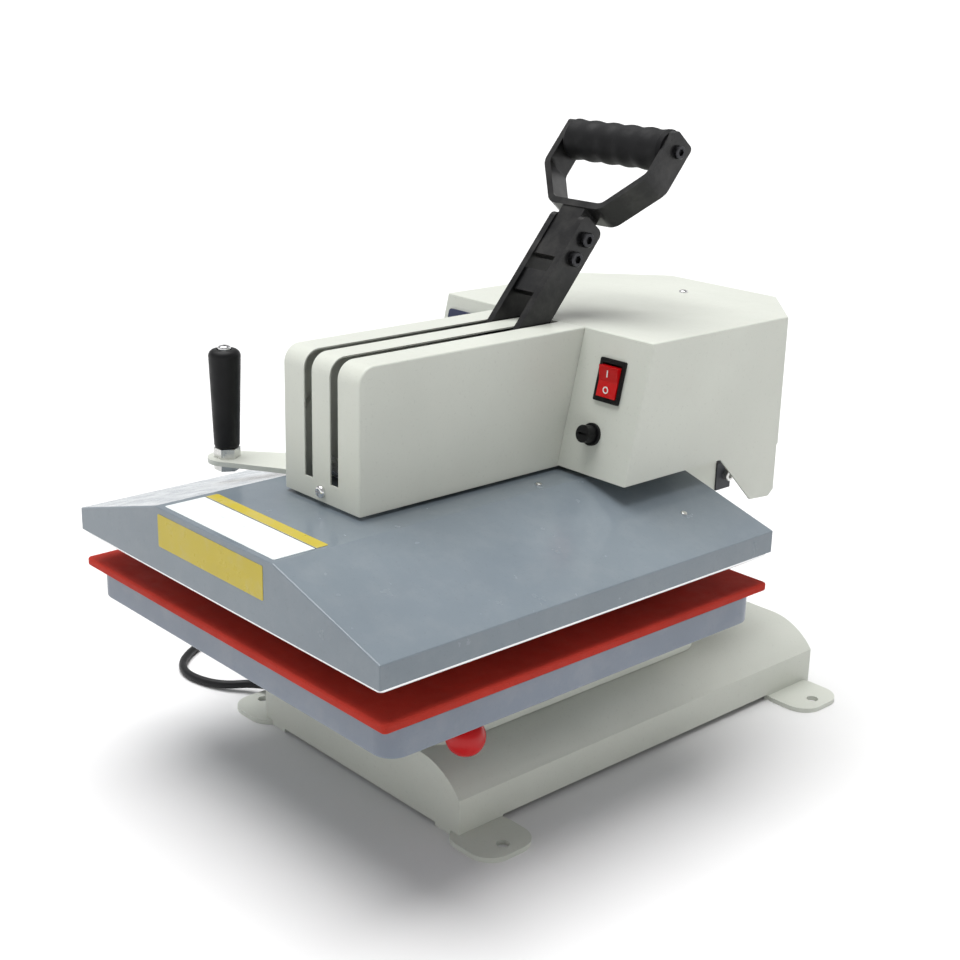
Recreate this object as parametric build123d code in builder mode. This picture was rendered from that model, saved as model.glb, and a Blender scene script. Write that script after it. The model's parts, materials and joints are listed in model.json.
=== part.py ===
from build123d import *
import math
import os

os.makedirs("parts", exist_ok=True)

# Swing-away flat heat press. Millimetres, +Z up, front is -Y, the user's right is +X.
# The origin is on the bench, at the middle of the four base bolt holes.

# --- driving dimensions -------------------------------------------------------------------
PLATEN_W = 380.0  # lower platen, left to right
PLATEN_D = 381.0  # lower platen, front to back
HEAD_Y = -140.0  # middle of both platens
POST_Y = 162.0  # swing axis
TRAVEL = 21.4  # how far the heated platen comes down
LEVER_SWEEP = 142.0  # degrees, lever up and back to lever down in front
SHEET = 1.5  # cover sheet

# levels above the bench
BASE_TOP = 56.0
PEDESTAL_TOP = 104.0
PLATEN_BOTTOM = 132.0
PLATEN_TOP = 157.5
PAD_TOP = 164.5
HEATER_BOTTOM = 186.0
HEATER_TOP = 200.0
SPREADER_TOP = 206.0
SKIRT_BOTTOM = 190.0
SKIRT_TOP = 208.0
HOOD_TOP = 242.0
ARM_BOTTOM = 245.0
ARM_TOP = 358.0

# base tray
BASE_T = 3.0
BASE_HALF_W = 128.0
BASE_FRONT = -211.0
BASE_BACK = 227.0
BASE_FOLD_Z = 33.0
BASE_FLAT_HALF = 81.0
TAB_SIZE = 56.0
TAB_T = 4.0
TAB_X = 158.0  # bolt holes
TAB_Y = 193.0
TAB_HOLE_R = 5.25

# hood
HOOD_HALF_W = 194.5
HOOD_HALF_D = 201.5
HOOD_FLAT_HALF = 76.0

# arm
ARM_HALF_W = 47.0
ARM_FRONT = -243.0
ARM_SHEET = 1.2
PLATE_IN = 41.0  # inner face of each side plate
PLATE_OUT = 45.5
SLOT_X = 16.0
SLOT_W = 10.0
SLOT_LOW_Z = 261.0
SLOT_BACK_Y = -17.0

# control box
BOX_HALF_W = 122.0
BOX_FRONT_TOP = -13.0
BOX_FRONT_BOTTOM = -39.0
BOX_BOTTOM = 246.0
BOX_SIDE_BACK = 156.0
BOX_BACK = 217.0
BOX_BACK_HALF = 62.0

# lever and cam
BAR_IN = 13.0
BAR_T = 6.0
BAR_W = 27.0
LEVER_TILT = 50.0  # degrees above the horizontal, leaning back
LEVER_Y = -40.0  # a point on the bars' centre line
LEVER_Z = 361.0
BAR_END = 96.0
CAM_RISE = TRAVEL / math.radians(LEVER_SWEEP)  # lift for each radian of lever
PIVOT_Y = HEAD_Y + CAM_RISE
PIVOT_Z = 290.0
PIVOT_R = 8.0
CAM_MIN = 16.0
RAM_R = 14.0

# grips
BOW_TILT = 50.0
GRIP_V = 71.0
GRIP_R = 17.0
SWING_X = -133.0
SWING_Y = -240.0
BRACKET_TOP = 247.5

# fits
RUN = 0.05  # radial running clearance

# cord
CORD_D = 7.5
CORD_R = CORD_D / 2


def save(piece, name):
    piece.label = name
    export_step(piece, f"parts/{name}.step")


def save_group(pieces, name):
    group = Compound(children=pieces)
    save(group, name)


def direction(degrees):
    """Unit vector in the Y-Z plane, measured from +Y towards +Z."""
    angle = math.radians(degrees)
    return math.cos(angle), math.sin(angle)


def along_lever(t, side=0.0):
    """Point in Y-Z, t along the bars' centre line and side mm towards the user."""
    c, s = direction(LEVER_TILT)
    return LEVER_Y + t * c - side * s, LEVER_Z + t * s + side * c


def panel_plane(x, z, out=0.0):
    """Plane on the leaning front panel: local y runs up the panel, z points outwards."""
    run = BOX_FRONT_TOP - BOX_FRONT_BOTTOM
    rise = ARM_TOP - BOX_BOTTOM
    length = math.hypot(run, rise)
    normal = (0, -rise / length, run / length)
    y = BOX_FRONT_TOP - (ARM_TOP - z) * run / rise
    origin = (x, y + normal[1] * out, z + normal[2] * out)
    return Plane(origin=origin, x_dir=(1, 0, 0), z_dir=normal)


def rod(x, y, low, high, radius):
    """Upright round bar."""
    with BuildPart() as bar:
        with BuildSketch(Plane.XY.offset(low)):
            with Locations((x, y)):
                Circle(radius)
        extrude(amount=high - low)
    return bar.part


def tube(x, y, low, high, outer, inner):
    """Upright round tube."""
    with BuildPart() as pipe:
        with BuildSketch(Plane.XY.offset(low)):
            with Locations((x, y)):
                Circle(outer)
                Circle(inner, mode=Mode.SUBTRACT)
        extrude(amount=high - low)
    return pipe.part


def socket_screw(plane, head_r, head_h, shank_r, shank_l):
    """Cap screw whose head stands up from the plane and whose shank runs down."""
    with BuildPart() as screw:
        with BuildSketch(plane):
            Circle(head_r)
        extrude(amount=head_h)
        chamfer(screw.faces().sort_by(lambda f: f.center().dot(plane.z_dir))[-1].edges(), head_r * 0.12)
        with BuildSketch(plane.offset(head_h)):
            RegularPolygon(head_r * 0.55, 6)
        extrude(amount=-head_h * 0.6, mode=Mode.SUBTRACT)
        with BuildSketch(plane):
            Circle(shank_r)
        extrude(amount=-shank_l)
    return screw.part


def dome_screw(plane, head_r, head_h, shank_r, shank_l):
    """Round-headed screw with a cross recess."""
    with BuildPart() as screw:
        with BuildSketch(plane):
            Circle(head_r)
        extrude(amount=head_h)
        fillet(screw.faces().sort_by(lambda f: f.center().dot(plane.z_dir))[-1].edges(), head_h * 0.7)
        with BuildSketch(plane.offset(head_h)):
            Rectangle(head_r * 1.1, head_r * 0.26)
            Rectangle(head_r * 0.26, head_r * 1.1)
        extrude(amount=-head_h * 0.4, mode=Mode.SUBTRACT)
        with BuildSketch(plane):
            Circle(shank_r)
        extrude(amount=-shank_l)
    return screw.part


# --- base ----------------------------------------------------------------------------------
POST_FOOT_R = 40.0
POST_FOOT_TOP = 68.0
POST_BOLT_PCR = 32.5
GLAND_Y = -180.0
GLAND_Z = 15.0


def base_section(inset):
    half = BASE_HALF_W - inset
    top = BASE_TOP - inset
    fold = BASE_FOLD_Z - inset * 0.5
    low = -1.0 if inset else 0.0
    span = half - BASE_FLAT_HALF
    drop = top - fold
    radius = (span**2 + drop**2) / (2 * drop)
    with BuildSketch(Plane.XZ.offset(-BASE_FRONT - inset)) as section:
        with BuildLine():
            Line((BASE_FLAT_HALF, top), (-BASE_FLAT_HALF, top))
            RadiusArc((-BASE_FLAT_HALF, top), (-half, fold), -radius)
            Line((-half, fold), (-half, low))
            Line((-half, low), (half, low))
            Line((half, low), (half, fold))
            RadiusArc((half, fold), (BASE_FLAT_HALF, top), -radius)
        make_face()
    return section.sketch


with BuildPart() as base_tray:
    extrude(base_section(0.0), amount=-(BASE_BACK - BASE_FRONT))
    extrude(base_section(BASE_T), amount=-(BASE_BACK - BASE_FRONT - 2 * BASE_T), mode=Mode.SUBTRACT)
    # the skirt stands clear of the bench between the tabs
    relief_len = 2 * (TAB_Y - TAB_SIZE / 2)
    with Locations((0, 0, 0)):
        Box(300, relief_len, 10, mode=Mode.SUBTRACT)
    with Locations((0, 0, 0)):
        Box(200, 480, 6, mode=Mode.SUBTRACT)
    with BuildSketch(Plane.XY):
        with Locations(*[(sx * (TAB_X - 14), sy * TAB_Y) for sx in (-1, 1) for sy in (-1, 1)]):
            RectangleRounded(TAB_SIZE, TAB_SIZE, 20)
    extrude(amount=TAB_T)
    with BuildSketch(Plane.XY):
        with GridLocations(2 * TAB_X, 2 * TAB_Y, 2, 2):
            Circle(TAB_HOLE_R)
    extrude(amount=TAB_T + 1, mode=Mode.SUBTRACT)
    with BuildSketch(Plane.XY.offset(BASE_TOP - 10)):
        with Locations((0, POST_Y)):
            with PolarLocations(POST_BOLT_PCR, 4, start_angle=45):
                Circle(3.3)
    extrude(amount=20, mode=Mode.SUBTRACT)
    with BuildSketch(Plane.YZ.offset(-BASE_HALF_W - 5)):
        with Locations((GLAND_Y, GLAND_Z)):
            Circle(7.0)
    extrude(amount=12, mode=Mode.SUBTRACT)
save(base_tray.part, "base_tray")

PEDESTAL_HALF_W = 88.0
PEDESTAL_FRONT = -205.0
PEDESTAL_BACK = 119.0
PEDESTAL_T = 4.0
STEM_R = 15.0
KEY_W = 8.0
KEY_LOW = 88.0
with BuildPart() as pedestal:
    mid = (PEDESTAL_FRONT + PEDESTAL_BACK) / 2
    depth = PEDESTAL_BACK - PEDESTAL_FRONT
    with BuildSketch(Plane.XY.offset(BASE_TOP)):
        with Locations((0, mid)):
            RectangleRounded(2 * PEDESTAL_HALF_W, depth, 28)
    extrude(amount=PEDESTAL_TOP - BASE_TOP)
    fillet(pedestal.faces().sort_by(Axis.Z)[-1].edges(), 5)
    with BuildSketch(Plane.XY.offset(BASE_TOP)):
        with Locations((0, mid)):
            RectangleRounded(2 * (PEDESTAL_HALF_W - PEDESTAL_T), depth - 2 * PEDESTAL_T, 24)
    extrude(amount=PEDESTAL_TOP - BASE_TOP - PEDESTAL_T, mode=Mode.SUBTRACT)
    with BuildSketch(Plane.XY.offset(PEDESTAL_TOP - 10)):
        with Locations((0, HEAD_Y)):
            Circle(STEM_R + 3)
    extrude(amount=20, mode=Mode.SUBTRACT)
    # keyed ring welded under the top, which keeps the stem from turning
    add(tube(0, HEAD_Y, KEY_LOW, PEDESTAL_TOP - PEDESTAL_T, 34.0, STEM_R + RUN))
    with Locations((0, HEAD_Y + STEM_R + 0.5, (KEY_LOW + PEDESTAL_TOP - PEDESTAL_T) / 2)):
        Box(KEY_W - 0.1, 7, PEDESTAL_TOP - PEDESTAL_T - KEY_LOW)
save(pedestal.part, "pedestal")

POST_R = 25.0
COLLAR_R = 34.0
COLLAR_LOW = 158.0
COLLAR_TOP = 166.0
WASHER_TOP = 170.0
POST_TOP = 331.3
with BuildPart() as post:
    add(rod(0, POST_Y, BASE_TOP, POST_FOOT_TOP, POST_FOOT_R))
    add(rod(0, POST_Y, POST_FOOT_TOP, POST_TOP, POST_R))
    add(rod(0, POST_Y, COLLAR_LOW, COLLAR_TOP, COLLAR_R))
    chamfer(post.faces().sort_by(Axis.Z)[-1].edges(), 2)
    with BuildSketch(Plane.XY.offset(BASE_TOP - 1)):
        with Locations((0, POST_Y)):
            with PolarLocations(POST_BOLT_PCR, 4, start_angle=45):
                Circle(3.3)
    extrude(amount=POST_FOOT_TOP - BASE_TOP + 2, mode=Mode.SUBTRACT)
save(post.part, "post")

post_bolts = []
for place in PolarLocations(POST_BOLT_PCR, 4, start_angle=45):
    spot = place.position
    plane = Plane(origin=(spot.X, POST_Y + spot.Y, POST_FOOT_TOP), z_dir=(0, 0, 1))
    post_bolts.append(socket_screw(plane, 5.0, 6.0, 3.2, 22.0))
save_group(post_bolts, "post_bolts")

save(tube(0, POST_Y, COLLAR_TOP, WASHER_TOP, COLLAR_R - 1, POST_R + RUN), "thrust_washer")

# --- pressure collar with its ball-ended rod -------------------------------------------------
NUT_LOW = PEDESTAL_TOP + 0.3
NUT_TOP = 118.5
NUT_R = 30.0
ROD_ANGLE = -28.4
BALL_REACH = 153.0
BALL_R = 15.5
BALL_Z = 92.0
ROD_R = 4.0
ROD_Z = 111.5

with BuildPart() as pressure_collar:
    add(tube(0, HEAD_Y, NUT_LOW, NUT_TOP, NUT_R, STEM_R + RUN))
    with BuildSketch(Plane.XY.offset(NUT_LOW)):
        with Locations((0, HEAD_Y)):
            with PolarLocations(NUT_R, 24):
                Circle(1.4)
    extrude(amount=NUT_TOP - NUT_LOW, mode=Mode.SUBTRACT)
save(pressure_collar.part, "pressure_collar")

rod_dir = (math.cos(math.radians(ROD_ANGLE)), math.sin(math.radians(ROD_ANGLE)))


def rod_point(reach, z):
    return (rod_dir[0] * reach, HEAD_Y + rod_dir[1] * reach, z)


with BuildPart() as collar_rod:
    with BuildLine() as rod_line:
        FilletPolyline(
            rod_point(NUT_R, ROD_Z), rod_point(96, ROD_Z), rod_point(BALL_REACH, BALL_Z), radius=20
        )
    with BuildSketch(Plane(origin=rod_line.line @ 0, z_dir=rod_line.line % 0)):
        Circle(ROD_R)
    sweep()
save(collar_rod.part, "collar_rod")

with BuildPart() as ball_knob:
    with Locations(rod_point(BALL_REACH + 1, BALL_Z)):
        Sphere(BALL_R)
    add(collar_rod.part, mode=Mode.SUBTRACT)
save(ball_knob.part, "ball_knob")

# --- lower platen ----------------------------------------------------------------------------
POCKET = 50.0
POCKET_PITCH = 58.0
POCKET_H = 15.0
with BuildPart() as lower_platen:
    with BuildSketch(Plane.XY.offset(PLATEN_BOTTOM)):
        with Locations((0, HEAD_Y)):
            RectangleRounded(PLATEN_W, PLATEN_D, 16)
    extrude(amount=PLATEN_TOP - PLATEN_BOTTOM)
    chamfer(lower_platen.faces().sort_by(Axis.Z)[-1].edges(), 3)
    fillet(lower_platen.faces().sort_by(Axis.Z)[0].edges(), 2)
    spots = []
    for col in range(6):
        for row in range(6):
            if col in (2, 3) and row in (2, 3):
                continue
            spots.append(((col - 2.5) * POCKET_PITCH, HEAD_Y + (row - 2.5) * POCKET_PITCH))
    with BuildSketch(Plane.XY.offset(PLATEN_BOTTOM)):
        with Locations(*spots):
            RectangleRounded(POCKET, POCKET, 8)
    extrude(amount=POCKET_H, mode=Mode.SUBTRACT)
save(lower_platen.part, "lower_platen")

PAD_OVER = 5.5
with BuildPart() as silicone_pad:
    with BuildSketch(Plane.XY.offset(PLATEN_TOP)):
        with Locations((0, HEAD_Y)):
            RectangleRounded(PLATEN_W + 2 * PAD_OVER, 2 * (HOOD_HALF_D - 3), 4)
    extrude(amount=PAD_TOP - PLATEN_TOP)
    fillet(silicone_pad.faces().sort_by(Axis.Z)[-1].edges(), 2)
    fillet(silicone_pad.faces().sort_by(Axis.Z)[0].edges(), 2)
save(silicone_pad.part, "silicone_pad")

FLANGE_LOW = 122.0
FLANGE_R = 48.0
STEM_LOW = 64.0
with BuildPart() as platen_stem:
    add(rod(0, HEAD_Y, FLANGE_LOW, PLATEN_BOTTOM, FLANGE_R))
    add(rod(0, HEAD_Y, STEM_LOW, FLANGE_LOW, STEM_R))
    with BuildSketch(Plane.XY.offset(STEM_LOW)):
        with Locations((0, HEAD_Y + STEM_R)):
            Rectangle(KEY_W, 10)
    extrude(amount=PEDESTAL_TOP - STEM_LOW, mode=Mode.SUBTRACT)
    with BuildSketch(Plane.XY.offset(FLANGE_LOW)):
        with Locations((0, HEAD_Y)):
            with PolarLocations(38, 4, start_angle=45):
                Circle(3.4)
    extrude(amount=PLATEN_BOTTOM - FLANGE_LOW, mode=Mode.SUBTRACT)
save(platen_stem.part, "platen_stem")

platen_screws = []
for place in PolarLocations(38, 4, start_angle=45):
    spot = place.position
    plane = Plane(origin=(spot.X, HEAD_Y + spot.Y, FLANGE_LOW), x_dir=(1, 0, 0), z_dir=(0, 0, -1))
    platen_screws.append(socket_screw(plane, 5.0, 4.0, 3.2, PLATEN_BOTTOM - FLANGE_LOW))
save_group(platen_screws, "platen_screws")

# --- heated upper platen -----------------------------------------------------------------------
ROD_X = 30.0
ROD_DY = 38.0
GUIDE_ROD_R = 5.0
ROD_TOP = 312.0
rod_spots = [(sx * ROD_X, HEAD_Y + sy * ROD_DY) for sx in (-1, 1) for sy in (-1, 1)]

with BuildPart() as heater_plate:
    with BuildSketch(Plane.XY.offset(HEATER_BOTTOM)):
        with Locations((0, HEAD_Y)):
            RectangleRounded(2 * HOOD_HALF_W - 5, 2 * HOOD_HALF_D - 5, 4)
    extrude(amount=HEATER_TOP - HEATER_BOTTOM)
    chamfer(heater_plate.faces().sort_by(Axis.Z)[0].edges(), 1)
save(heater_plate.part, "heater_plate")

with BuildPart() as heating_element:
    with BuildLine() as element_line:
        FilletPolyline(
            (-12, HEAD_Y + 170, HEATER_TOP + 4.1),
            (-12, HEAD_Y + 145, HEATER_TOP + 4.1),
            (-140, HEAD_Y + 145, HEATER_TOP + 4.1),
            (-140, HEAD_Y - 145, HEATER_TOP + 4.1),
            (140, HEAD_Y - 145, HEATER_TOP + 4.1),
            (140, HEAD_Y + 145, HEATER_TOP + 4.1),
            (12, HEAD_Y + 145, HEATER_TOP + 4.1),
            (12, HEAD_Y + 170, HEATER_TOP + 4.1),
            radius=11,
        )
    with BuildSketch(Plane(origin=element_line.line @ 0, z_dir=element_line.line % 0)):
        Circle(4)
    sweep()
save(heating_element.part, "heating_element")

BLANKET_LOW = 209.0
BLANKET_TOP = 214.0
BUSH_R = 21.0
with BuildPart() as insulation:
    with BuildSketch(Plane.XY.offset(BLANKET_LOW)):
        with Locations((0, HEAD_Y)):
            RectangleRounded(310, 340, 10)
            Rectangle(84, 110, mode=Mode.SUBTRACT)
    extrude(amount=BLANKET_TOP - BLANKET_LOW)
save(insulation.part, "insulation")


def hood_section(inset, low):
    """Hood outline across the width, seen from the front."""
    half = HOOD_HALF_W - inset
    slope = math.atan2(HOOD_TOP - SKIRT_TOP, HOOD_HALF_W - HOOD_FLAT_HALF)
    knee = SKIRT_TOP - inset * math.tan(slope / 2)
    flat = HOOD_FLAT_HALF - inset * math.tan(slope / 2)
    top = HOOD_TOP - inset
    with BuildSketch(Plane.XZ.offset(-(HEAD_Y - HOOD_HALF_D) - inset)) as outline:
        with BuildLine():
            Polyline(
                (-half, low), (half, low), (half, knee), (flat, top), (-flat, top), (-half, knee), close=True
            )
        make_face()
    return outline.sketch


with BuildPart() as hood:
    extrude(hood_section(0.0, SKIRT_BOTTOM), amount=-2 * HOOD_HALF_D)
    fillet(hood.edges().filter_by(lambda e: e.center().Z > SKIRT_BOTTOM + 1), 1.2)
    inside = hood_section(SHEET, SKIRT_BOTTOM - 1)
    extrude(inside, amount=-2 * (HOOD_HALF_D - SHEET), mode=Mode.SUBTRACT)
    with BuildSketch(Plane.XY.offset(HOOD_TOP - 10)):
        with Locations((0, HEAD_Y)):
            Circle(BUSH_R + 1)
        with Locations(*rod_spots):
            Circle(GUIDE_ROD_R + 2)
    extrude(amount=20, mode=Mode.SUBTRACT)
save(hood.part, "hood")

SLOPE = math.atan2(HOOD_TOP - SKIRT_TOP, HOOD_HALF_W - HOOD_FLAT_HALF)
SLOPE_SCREW = (147.0, 6.0)
FLAT_SCREW = (66.0, -78.0)
slope_z = HOOD_TOP - (SLOPE_SCREW[0] - HOOD_FLAT_HALF) * math.tan(SLOPE)
screw_spots = [
    (*SLOPE_SCREW, slope_z, math.sin(SLOPE), math.cos(SLOPE)),
    (*FLAT_SCREW, HOOD_TOP, 0.0, 1.0),
]
hood_screws = []
for sx in (-1, 1):
    for x, y, z, lean, rise in screw_spots:
        plane = Plane(origin=(sx * x, y, z), x_dir=(0, 1, 0), z_dir=(sx * lean, 0, rise))
        with BuildPart() as screw:
            with BuildSketch(plane):
                Circle(2.6)
            extrude(amount=1.2)
            fillet(screw.faces().sort_by(lambda f: f.center().dot(plane.z_dir))[-1].edges(), 0.8)
        hood_screws.append(screw.part)
save_group(hood_screws, "hood_screws")

LABEL_T = 0.3
with BuildPart() as label_top:
    with BuildSketch(Plane.XY.offset(HOOD_TOP)):
        with Locations((1, HEAD_Y - HOOD_HALF_D + 28)):
            RectangleRounded(142, 47, 1.5)
    extrude(amount=LABEL_T)
with BuildPart() as label_front:
    with BuildSketch(Plane.XZ.offset(HOOD_HALF_D - HEAD_Y)):
        with Locations((-4, 223.5)):
            RectangleRounded(138, 26, 1.5)
    extrude(amount=LABEL_T)
save_group([label_top.part, label_front.part], "hood_labels")

RAM_TOP = PIVOT_Z - CAM_MIN - 0.3
RAM_FLAT = 11.5
with BuildPart() as ram:
    with BuildSketch(Plane.XY.offset(HEATER_TOP)):
        with Locations((0, HEAD_Y)):
            RectangleRounded(120, 140, 8)
    extrude(amount=SPREADER_TOP - HEATER_TOP)
    add(rod(0, HEAD_Y, SPREADER_TOP, RAM_TOP, RAM_R))
    for sx in (-1, 1):
        with Locations((sx * (RAM_FLAT + 5), HEAD_Y, RAM_TOP)):
            Box(10, 40, 40, mode=Mode.SUBTRACT)
save(ram.part, "ram")

SPRING_TOP = 304.0
guide_rods = []
for x, y in rod_spots:
    with BuildPart() as guide_rod:
        add(rod(x, y, SPREADER_TOP, ROD_TOP, GUIDE_ROD_R))
        add(rod(x, y, SPRING_TOP, SPRING_TOP + 6, 8.0))
    guide_rods.append(guide_rod.part)
save_group(guide_rods, "guide_rods")

# --- swing arm -----------------------------------------------------------------------------------
RAIL_TOP = 258.0
GUIDE_TOP = 251.0
GUIDE_LOW = 245.5
BUSH_LOW = 207.0
with BuildPart() as guide_block:
    with BuildSketch(Plane.XY.offset(GUIDE_LOW)):
        with Locations((0, HEAD_Y)):
            Rectangle(2 * PLATE_IN, 120)
    extrude(amount=GUIDE_TOP - GUIDE_LOW)
    with BuildSketch(Plane.XY.offset(GUIDE_TOP)):
        with Locations((-31.5, HEAD_Y), (31.5, HEAD_Y)):
            Rectangle(19, 120)
    extrude(amount=RAIL_TOP - GUIDE_TOP)
    with BuildSketch(Plane.XY.offset(GUIDE_LOW)):
        with Locations((0, HEAD_Y)):
            Circle(BUSH_R)
    extrude(amount=GUIDE_TOP - GUIDE_LOW, mode=Mode.SUBTRACT)
    with BuildSketch(Plane.XY.offset(GUIDE_LOW)):
        with Locations(*rod_spots):
            Circle(GUIDE_ROD_R + RUN)
    extrude(amount=RAIL_TOP - GUIDE_LOW, mode=Mode.SUBTRACT)
save(guide_block.part, "guide_block")
save(tube(0, HEAD_Y, BUSH_LOW, GUIDE_TOP, BUSH_R, RAM_R + RUN), "ram_bush")

SPRING_R = 7.0
WIRE_R = 1.0
SPRING_TURNS = 7
return_springs = []
for x, y in rod_spots:
    spring_low = RAIL_TOP + WIRE_R + 0.05
    spring_high = SPRING_TOP - WIRE_R - 0.05
    with BuildPart() as spring:
        with BuildLine() as coil_line:
            Helix((spring_high - spring_low) / SPRING_TURNS, spring_high - spring_low, SPRING_R, (x, y, spring_low))
        with BuildSketch(Plane(origin=coil_line.line @ 0, z_dir=coil_line.line % 0)):
            Circle(WIRE_R)
        sweep(is_frenet=True)
    return_springs.append(spring.part)
save_group(return_springs, "return_springs")

PLATE_BACK = 170.0
PLATE_LEG_LOW = 176.0
SLEEVE_R = 38.0
SLEEVE_LOW = 170.3
SLEEVE_TOP = 331.0
side_plates = []
for sx in (-1, 1):
    low = min(sx * PLATE_IN, sx * PLATE_OUT)
    with BuildPart() as plate:
        with BuildSketch(Plane.YZ.offset(low)):
            with BuildLine():
                Polyline(
                    (-232, 246),
                    (66, 246),
                    (74, PLATE_LEG_LOW),
                    (PLATE_BACK, PLATE_LEG_LOW),
                    (PLATE_BACK, 340),
                    (-200, 340),
                    (-232, 300),
                    close=True,
                )
            make_face()
            with Locations((PIVOT_Y, PIVOT_Z)):
                Circle(PIVOT_R, mode=Mode.SUBTRACT)
        extrude(amount=PLATE_OUT - PLATE_IN)
    side_plates.append(plate.part)
save_group(side_plates, "arm_side_plates")

with BuildPart() as pivot_pin:
    with BuildSketch(Plane.YZ.offset(-PLATE_OUT)):
        with Locations((PIVOT_Y, PIVOT_Z)):
            Circle(PIVOT_R)
    extrude(amount=2 * PLATE_OUT)
save(pivot_pin.part, "lever_pivot_pin")

LUG_Y = 180.0
LUG_Z = 193.0
with BuildPart() as swing_sleeve:
    add(tube(0, POST_Y, SLEEVE_LOW, SLEEVE_TOP, SLEEVE_R, POST_R + RUN))
    with Locations((0, POST_Y - 20, 215)):
        Box(2 * PLATE_IN, 36, 60)
    with Locations((0, POST_Y, 300)):
        Box(2 * PLATE_IN, 16, 50)
    with Locations((38, LUG_Y, LUG_Z)):
        Box(18, 20, 26)
    with BuildSketch(Plane.XY.offset(SLEEVE_LOW)):
        with Locations((0, POST_Y)):
            Circle(POST_R + RUN)
    extrude(amount=SLEEVE_TOP - SLEEVE_LOW, mode=Mode.SUBTRACT)
    # split behind the lug so that the screw can pinch the sleeve
    with Locations((38, LUG_Y + 6, LUG_Z)):
        Box(1.5, 20, 40, mode=Mode.SUBTRACT)
    with BuildSketch(Plane.YZ.offset(20)):
        with Locations((LUG_Y + 4, LUG_Z)):
            Circle(3.2)
    extrude(amount=30, mode=Mode.SUBTRACT)
save(swing_sleeve.part, "swing_sleeve")
clamp_plane = Plane(origin=(47, LUG_Y + 4, LUG_Z), x_dir=(0, 1, 0), z_dir=(1, 0, 0))
save(socket_screw(clamp_plane, 5.2, 5.0, 3.1, 14.0), "clamp_screw")

with BuildPart() as post_cap:
    add(rod(0, POST_Y, POST_TOP, POST_TOP + 6, 33))
    chamfer(post_cap.faces().sort_by(Axis.Z)[-1].edges(), 1.5)
save(post_cap.part, "post_cap")

spacers = []
for y, z, size in ((-215.0, 262.0, 14.0), (40.0, 262.0, 18.0), (40.0, 328.0, 18.0)):
    with BuildPart() as spacer:
        with BuildSketch(Plane.YZ.offset(-PLATE_IN)):
            with Locations((y, z)):
                Circle(size / 2)
        extrude(amount=2 * PLATE_IN)
    spacers.append(spacer.part)
save_group(spacers, "arm_spacers")

ARM_BEND = 14.0
ARM_COVER_BACK = BOX_FRONT_TOP - 0.6
cover_plane = Plane(origin=(0, ARM_FRONT, 253.0), x_dir=(1, 0, 0), z_dir=(0, -1, 0))
with BuildPart() as arm_cover:
    with BuildSketch(Plane.YZ.offset(-ARM_HALF_W)):
        with BuildLine():
            Line((ARM_FRONT, ARM_BOTTOM), (ARM_FRONT, ARM_TOP - ARM_BEND))
            RadiusArc((ARM_FRONT, ARM_TOP - ARM_BEND), (ARM_FRONT + ARM_BEND, ARM_TOP), ARM_BEND)
            Line((ARM_FRONT + ARM_BEND, ARM_TOP), (ARM_COVER_BACK, ARM_TOP))
            Line((ARM_COVER_BACK, ARM_TOP), (ARM_COVER_BACK, ARM_BOTTOM))
            Line((ARM_COVER_BACK, ARM_BOTTOM), (ARM_FRONT, ARM_BOTTOM))
        make_face()
    extrude(amount=2 * ARM_HALF_W)
    long_edges = arm_cover.edges().filter_by(Axis.Y).group_by(Axis.Z)[-1]
    front_edges = arm_cover.edges().filter_by(Axis.Z).group_by(Axis.Y)[0]
    bend_edges = arm_cover.edges().filter_by(GeomType.CIRCLE)
    fillet(long_edges + front_edges + bend_edges, 1.6)
    with BuildSketch(Plane.YZ.offset(-ARM_HALF_W + ARM_SHEET)):
        front = ARM_FRONT + ARM_SHEET
        top = ARM_TOP - ARM_SHEET
        bend = ARM_BEND - ARM_SHEET
        with BuildLine():
            Line((front, ARM_BOTTOM - 1), (front, top - bend))
            RadiusArc((front, top - bend), (front + bend, top), bend)
            Line((front + bend, top), (ARM_COVER_BACK + 1, top))
            Line((ARM_COVER_BACK + 1, top), (ARM_COVER_BACK + 1, ARM_BOTTOM - 1))
            Line((ARM_COVER_BACK + 1, ARM_BOTTOM - 1), (front, ARM_BOTTOM - 1))
        make_face()
    extrude(amount=2 * (ARM_HALF_W - ARM_SHEET), mode=Mode.SUBTRACT)
    for sx in (-1, 1):
        with BuildSketch(Plane.YZ.offset(sx * SLOT_X - SLOT_W / 2)):
            with BuildLine():
                Polyline(
                    (ARM_FRONT - 1, SLOT_LOW_Z),
                    (ARM_FRONT + 30, SLOT_LOW_Z),
                    (ARM_FRONT + 30, ARM_TOP - 30),
                    (SLOT_BACK_Y, ARM_TOP - 30),
                    (SLOT_BACK_Y, ARM_TOP + 1),
                    (ARM_FRONT - 1, ARM_TOP + 1),
                    close=True,
                )
            make_face()
        extrude(amount=SLOT_W, mode=Mode.SUBTRACT)
    with BuildSketch(cover_plane.offset(5)):
        Circle(2.1)
    extrude(amount=-10, mode=Mode.SUBTRACT)
save(arm_cover.part, "arm_cover")
cover_screws = [dome_screw(cover_plane, 5.0, 3.4, 2.0, 6.0)]

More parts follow.
